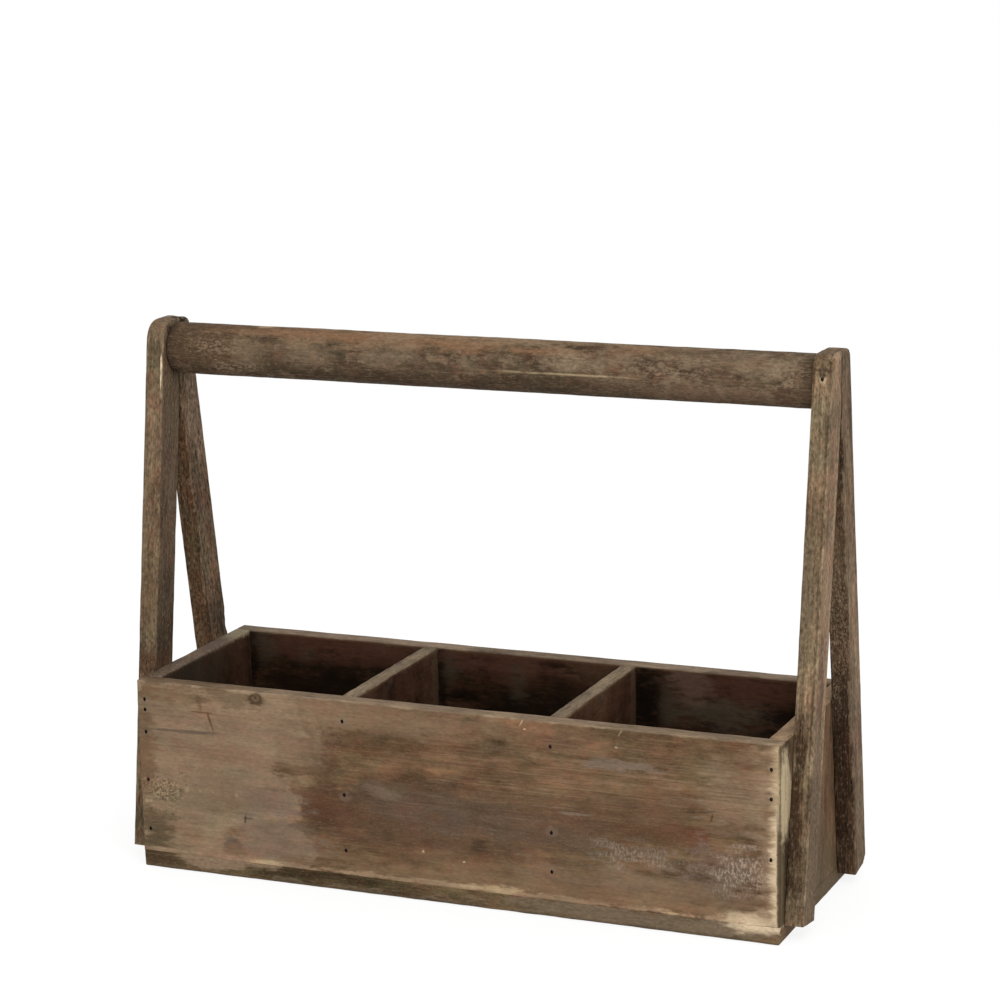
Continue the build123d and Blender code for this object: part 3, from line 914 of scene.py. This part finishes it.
def leg_blank(node, row):
    """A slat cut to the outline of a leg, with its lean and the outer corner of its foot.
    row is -1 in front and +1 behind."""
    low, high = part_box(node)
    width, _, shift, _ = LEG_CUTS[node]
    reach = max(-low.y, high.y) + shift
    lean = math.atan2(reach - TOP_REACH, high.z - FOOT_HEIGHT)
    foot_inner = (reach - width * math.cos(lean), FOOT_HEIGHT - width * math.sin(lean))
    crotch = (0.0, foot_inner[1] + foot_inner[0] / math.tan(lean))
    corners = ((reach, FOOT_HEIGHT), foot_inner, crotch, (0.0, high.z), (TOP_REACH, high.z))
    shape = bmesh.new()
    outline = [shape.verts.new((low.x, row * y, z)) for y, z in corners]
    face = shape.faces.new(outline)
    slat = bmesh.ops.extrude_face_region(shape, geom=[face])
    moved = [part for part in slat["geom"] if isinstance(part, bmesh.types.BMVert)]
    bmesh.ops.translate(shape, vec=(high.x - low.x, 0, 0), verts=moved)
    bmesh.ops.recalc_face_normals(shape, faces=shape.faces)
    return shape, lean, Vector((0, row * reach, FOOT_HEIGHT))


def x_run(edge):
    """How far an edge runs along the box."""
    return abs(edge.verts[0].co.x - edge.verts[1].co.x)


def cut_leg(shape, node, row, lean, foot):
    """Rounds a leg's shoulder and arrises and divides its sides into cells."""
    low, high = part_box(node)
    width, rounding, _, _ = LEG_CUTS[node]
    across = [edge for edge in shape.edges if x_run(edge) > LEG_ARRIS]
    shoulder = max(across, key=lambda edge: edge.verts[0].co.z + abs(edge.verts[0].co.y))
    round_off(shape, [shoulder], rounding, 8)
    arrises = [edge for edge in shape.edges if x_run(edge) < LEG_ARRIS]
    round_off(shape, arrises, LEG_ARRIS, 2)
    upward = Vector((0, -row * math.sin(lean), math.cos(lean)))
    outward = Vector((0, row * math.cos(lean), math.sin(lean)))
    length = (high.z - FOOT_HEIGHT) / math.cos(lean)
    cuts = [(foot + upward * (step * LEG_CELL), upward) for step in range(1, int(length / LEG_CELL) + 1)]
    cuts += [(foot - outward * (step * width / CELLS_ACROSS), outward) for step in range(1, CELLS_ACROSS)]
    cuts += [(low.lerp(high, step / CELLS_THROUGH), LENGTHWISE) for step in range(1, CELLS_THROUGH)]
    for point, direction in cuts:
        bmesh.ops.bisect_plane(
            shape, geom=shape.verts[:] + shape.edges[:] + shape.faces[:], plane_co=point, plane_no=direction
        )


# Chips knocked out of the legs, and a scuffed place, with their middles and sizes in millimetres
LEG_CHIPS = {
    "right_rear_leg": (((238, 72, 9), (14, 8, 8), 3.0),),
    "left_rear_leg": (((-230, 54, 144), (5, 6, 10), 2.4), ((-233, 12, 370.5), (6, 8, 3), 1.6)),
}
LEG_SCUFFS = {"right_rear_leg": (((236, 22, 188), (8, 12, 52), (1.2, 1.2, 1.8), 0.45),)}
FRAME_MIDDLE = 236.7
LEG_SEED = 20
LEG_HUES = {"left": 1.1, "right": 0.6}
for end, side in (("left", -1), ("right", 1)):
    for place, row in (("front", -1), ("rear", 1)):
        node = f"{end}_{place}_leg"
        seed = LEG_SEED + 2 * side + row
        shape, lean, foot = leg_blank(node, row)
        sides = flat_sides(shape)
        front_tone_and_shade, right_tone = LEG_TONES_AND_SHADE[node]
        grit = LEG_CUTS[node][-1]
        wood = Wood(f"{node}_wood", LEG_TONE, seed, grain=ALONG_Z, lean=row * lean, lines=0.6, grit=grit)
        front_edge = next(flat for flat in sides if flat[1].y < -0.9 and flat[0].z < 2 * RIM)
        wood.face(right_tone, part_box(node)[1], LENGTHWISE)
        # On a rear leg the front edge faces into the A-frame, and its dark tone is painted shade.
        wood.face(front_tone_and_shade, *front_edge)
        wood.smudge(0.6, LEG_HUES[end])
        for colour, middle, reach, strength in LEG_MARKS[node]:
            wood.mark(colour, middle, reach, strength)
        for middle, reach, strokes, strength in LEG_SCUFFS.get(node, ()):
            wood.scuff(PALE_FIBRE, middle, reach, strokes, strength)
        wood.age(0.3, 0.22, 0.32)
        wood.rub(ARRIS_WEAR_AND_HIGHLIGHT, 0.85, 1.05, 0.3)
        wood.mark(INK, (side * FRAME_MIDDLE, 0, 338), (12, 1.4, 40), 0.9, ragged=0.1)
        cut_leg(shape, node, row, lean, foot)
        wear(shape, sides, seed, edge_loss=0.4 * MM, warp=0.3 * MM, chips=LEG_CHIPS.get(node, ()))
        leg = put_in(node, shape, wood.done(LEG_RELIEF))
        if node == "right_front_leg":
            outward = Vector((0, -math.cos(lean), math.sin(lean)))
            upward = Vector((0, math.sin(lean), math.cos(lean)))
            punch(leg, [(f"{end}_apex_nail", outward, upward)])

# Handle
# A round dowel, worn out of true by carrying, that butts against the heads of the legs and is nailed through
# them. It is darker than the boards, with pale flecks and orange-brown streaks along its top.
HANDLE_CELL = 3.0 * MM
HANDLE_CORNERS = 64
LONG_LUMP = 22 * MM
SHORT_LUMP = 7 * MM
ORANGE = tone(0.225, 0.122, 0.065)
FADED = tone(0.208, 0.149, 0.094)
low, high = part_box("handle")
radius = (high.z - low.z) / 2
middle = (low + high) / 2
shape = bmesh.new()
bmesh.ops.create_cone(
    shape, cap_ends=True, segments=HANDLE_CORNERS, radius1=radius, radius2=radius, depth=high.x - low.x,
    matrix=Matrix.Translation(middle) @ Matrix.Rotation(math.pi / 2, 4, "Y"),
)
round_off(shape, [edge for edge in shape.edges if x_run(edge) < ARRIS], ARRIS, 3)
runs = [edge for edge in shape.edges if x_run(edge) > radius]
bmesh.ops.subdivide_edges(shape, edges=runs, cuts=round((high.x - low.x) / HANDLE_CELL), use_grid_fill=True)
for vert in shape.verts:
    out = Vector((0, vert.co.y - middle.y, vert.co.z - middle.z))
    long_place = Vector((vert.co.x / 3, vert.co.y, vert.co.z))
    lump = 0.35 * noise.noise(long_place / LONG_LUMP) + 0.15 * noise.noise(vert.co / SHORT_LUMP)
    vert.co += out / radius * lump * MM
handle_wood = Wood("handle_wood", tone(0.102, 0.067, 0.042), seed=30, lines=0.25, grit=0.13)
handle_wood.smudge(0.9, 1.5)
handle_wood.tinge(FADED, 17, 10, 0.2, 1.1, 0.6)
handle_wood.tinge(INK, 15, 9, 0.3, 1.3, 0.6)
handle_wood.tinge(FADED, 8, 5, 0.3, 1.1, 0.5)
handle_wood.tinge(INK, 8, 5, 0.3, 1.1, 0.5)

# Each mark on the handle is a colour, its place along it, its angle up from the front, its reach and strength
HANDLE_MARKS = (
    (UMBER, -196, 22, (42, 20), 0.75),
    (INK, -210, 20, (24, 18), 0.4),
    (INK, 0, -62, (260, 12), 0.6),
    (ORANGE, -95, 62, (66, 8), 0.85),
    (ORANGE, -20, 54, (42, 6), 0.75),
    (ORANGE, 48, 46, (28, 3), 0.8),
    (tone(0.255, 0.168, 0.100), 10, 84, (104, 7), 0.7),
    (FADED, -168, 12, (14, 9), 0.5),
    (FADED, -122, 14, (16, 9), 0.5),
    (FADED, -62, 22, (20, 9), 0.5),
    (FADED, 84, 30, (26, 8), 0.4),
    (FADED, 160, 55, (62, 9), 0.3),
    (CREAM, -161, 88, (4, 2.5), 0.8),
    (CREAM, 66, -4, (44, 0.7), 0.7),
    (PINK, 160, -30, (60, 7), 0.4),
    (INK, -60, -35, (110, 9), 0.4),
    (INK, 120, -2, (12, 7), 0.5),
    (INK, 158, 12, (13, 6), 0.5),
    (FADED, 190, 32, (15, 7), 0.5),
    (ORANGE, 112, 60, (20, 4), 0.5),
    # The three dark bands at the handle's ends, where it meets the legs, are painted shade.
    (INK, -229, -10, (3.6, 24), 0.85),
    (INK, -228, 40, (3, 30), 0.7),
    (INK, 227, 30, (4.5, 14), 0.8),
)

# Each scuff on the handle is its place along it, its angle up from the front and its reach along and around
HANDLE_SCUFFS = ((-192, 16, 16, 8), (-181, -35, 14, 6), (66, 24, 20, 6), (132, 15, 26, 9), (211, 23, 12, 9))


def on_handle(x, angle):
    """A place on the handle's surface in millimetres, at an angle up from its front."""
    up = math.radians(angle)
    return (x, -radius / MM * math.cos(up), (middle.z + radius * math.sin(up)) / MM)


for colour, x, angle, (along, around), strength in HANDLE_MARKS:
    handle_wood.mark(colour, on_handle(x, angle), (along, around, around), strength, soft=0.7, ragged=0.25)
for x, angle, along, around in HANDLE_SCUFFS:
    handle_wood.scuff(PALE_FIBRE, on_handle(x, angle), (along, around, around), (3, 1.5, 1.5), 0.5)
handle_wood.age(0.2, 0.2, 0.3)
put_in("handle", shape, handle_wood.done())

# Nails
# Flat-headed wire nails of plain steel, long since rusted brown-black, punched a little below the wood.
# They keep their CAD meshes. Those in the legs lie covered, but for one at the head of the right front leg.
RUST_GRAIN = 1.2 * MM
nail_steel = Finish("rusted_steel")
rust = nail_steel.clouds(nail_steel.laid((0, 0, 0), [RUST_GRAIN] * 3), detail=5.0)
rust = nail_steel.math("MULTIPLY_ADD", rust, 0.5, 0.5)
RUST_STOPS = (
    (0.1, tone(0.006, 0.005, 0.004)),
    (0.6, tone(0.014, 0.008, 0.006)),
    (1.0, tone(0.035, 0.016, 0.008)),
)
nail_steel.give(nail_steel.shader.inputs["Base Color"], nail_steel.ramp(rust, RUST_STOPS))
nail_steel.give(nail_steel.shader.inputs["Roughness"], nail_steel.rise(rust, -0.5, 1.0, 0.85))
nail_steel.shader.inputs["Metallic"].default_value = 0.3
for name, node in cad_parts.items():
    if name.endswith(("_nails", "_nail")):
        for slot in node.material_slots:
            slot.material = nail_steel.material

# Floor, light and camera
# A pale floor that runs out to white, a soft sky and one large lamp high in front on the right.
# The camera stands where the photo was taken from.
FLOOR_REACH = 6.0
FLOOR_GAP = 0.3 * MM
floor_mesh = bmesh.new()
bmesh.ops.create_grid(floor_mesh, x_segments=8, y_segments=8, size=FLOOR_REACH)
mesh = bpy.data.meshes.new("floor")
bmesh.ops.translate(floor_mesh, vec=(0, 0, -FLOOR_GAP), verts=floor_mesh.verts)
floor_mesh.to_mesh(mesh)
floor_mesh.free()
floor = bpy.data.objects.new("floor", mesh)
bpy.context.scene.collection.objects.link(floor)


def seen(tree):
    """1 for what the camera sees, directly, in a gloss or through glass, and 0 for what lights the object."""
    path = tree.nodes.new("ShaderNodeLightPath")
    total = path.outputs["Is Camera Ray"]
    for ray in ("Is Glossy Ray", "Is Transmission Ray"):
        larger = tree.nodes.new("ShaderNodeMath")
        larger.operation = "MAXIMUM"
        tree.links.new(total, larger.inputs[0])
        tree.links.new(path.outputs[ray], larger.inputs[1])
        total = larger.outputs[0]
    return total


FLOOR_PALE = tone(0.90, 0.90, 0.90)
SHADOW_SHARE = 0.22
SHADOW_GLOW = 0.09
SHADOW_NEAR = 0.5
SHADOW_FAR = 1.3
floor_paint = Finish("floor_paint")
floor_paint.shader.inputs["Base Color"].default_value = FLOOR_PALE
floor_paint.shader.inputs["Roughness"].default_value = 0.9
floor_paint.shader.inputs["Specular IOR Level"].default_value = 0.0
distance = floor_paint.add("ShaderNodeVectorMath", "Value", {0: floor_paint.place}, operation="LENGTH")
near = floor_paint.rise(distance, SHADOW_FAR, SHADOW_NEAR)
glow_strength = floor_paint.math("MULTIPLY_ADD", near, SHADOW_GLOW, 1.0)
glow = floor_paint.add("ShaderNodeEmission", 0, {"Color": WHITE, "Strength": glow_strength})
share = floor_paint.math("MULTIPLY_ADD", near, -SHADOW_SHARE, 1.0)
share = floor_paint.math("MULTIPLY", seen(floor_paint.tree), share)
surface = floor_paint.add("ShaderNodeMixShader", 0, {0: share, 1: floor_paint.shader.outputs[0], 2: glow})
floor_paint.give(floor_paint.tree.nodes["Material Output"].inputs["Surface"], surface)
floor.data.materials.append(floor_paint.material)

SKY_STRENGTH = 0.75
world = bpy.data.worlds.new("studio")
world.use_nodes = True
sky = world.node_tree.nodes["Background"]
sky.inputs["Color"].default_value = WHITE
strength = world.node_tree.nodes.new("ShaderNodeMapRange")
strength.inputs["To Min"].default_value = SKY_STRENGTH
strength.inputs["To Max"].default_value = 1.0
world.node_tree.links.new(seen(world.node_tree), strength.inputs["Value"])
world.node_tree.links.new(strength.outputs[0], sky.inputs["Strength"])
bpy.context.scene.world = world

LAMP_PLACE = Vector((1.2, -1.8, 2.2))
LAMP_AIM = Vector((0, 0, 0.15))
LAMP_SIZE = 1.6
LAMP_POWER = 34.0
lamp_data = bpy.data.lights.new("key_lamp", "AREA")
lamp_data.size = LAMP_SIZE
lamp_data.energy = LAMP_POWER
lamp = bpy.data.objects.new("key_lamp", lamp_data)
lamp.location = LAMP_PLACE
lamp.rotation_euler = (LAMP_AIM - LAMP_PLACE).to_track_quat("-Z", "Y").to_euler()
bpy.context.scene.collection.objects.link(lamp)

CAMERA_PLACE = Vector((0.77630, -1.81153, 0.68347))
CAMERA_YAW = math.radians(23.0119)
CAMERA_PITCH = math.radians(14.6752)
CAMERA_ROLL = math.radians(-1.0142)
LENS = 108.7175
SENSOR = 36.0
SHIFT_UP = 0.132
forward = Vector((
    -math.sin(CAMERA_YAW) * math.cos(CAMERA_PITCH),
    math.cos(CAMERA_YAW) * math.cos(CAMERA_PITCH),
    -math.sin(CAMERA_PITCH),
))
level = Vector((math.cos(CAMERA_YAW), math.sin(CAMERA_YAW), 0))
upright = level.cross(forward)
rightward = level * math.cos(CAMERA_ROLL) + upright * math.sin(CAMERA_ROLL)
crown = upright * math.cos(CAMERA_ROLL) - level * math.sin(CAMERA_ROLL)
camera_data = bpy.data.cameras.new("camera")
camera_data.lens = LENS
camera_data.sensor_width = SENSOR
camera_data.shift_y = SHIFT_UP
camera = bpy.data.objects.new("camera", camera_data)
camera_turn = Matrix((rightward, crown, -forward)).transposed().to_4x4()
camera.matrix_world = Matrix.Translation(CAMERA_PLACE) @ camera_turn
bpy.context.scene.collection.objects.link(camera)
bpy.context.scene.camera = camera
bpy.context.scene.view_settings.view_transform = "Standard"
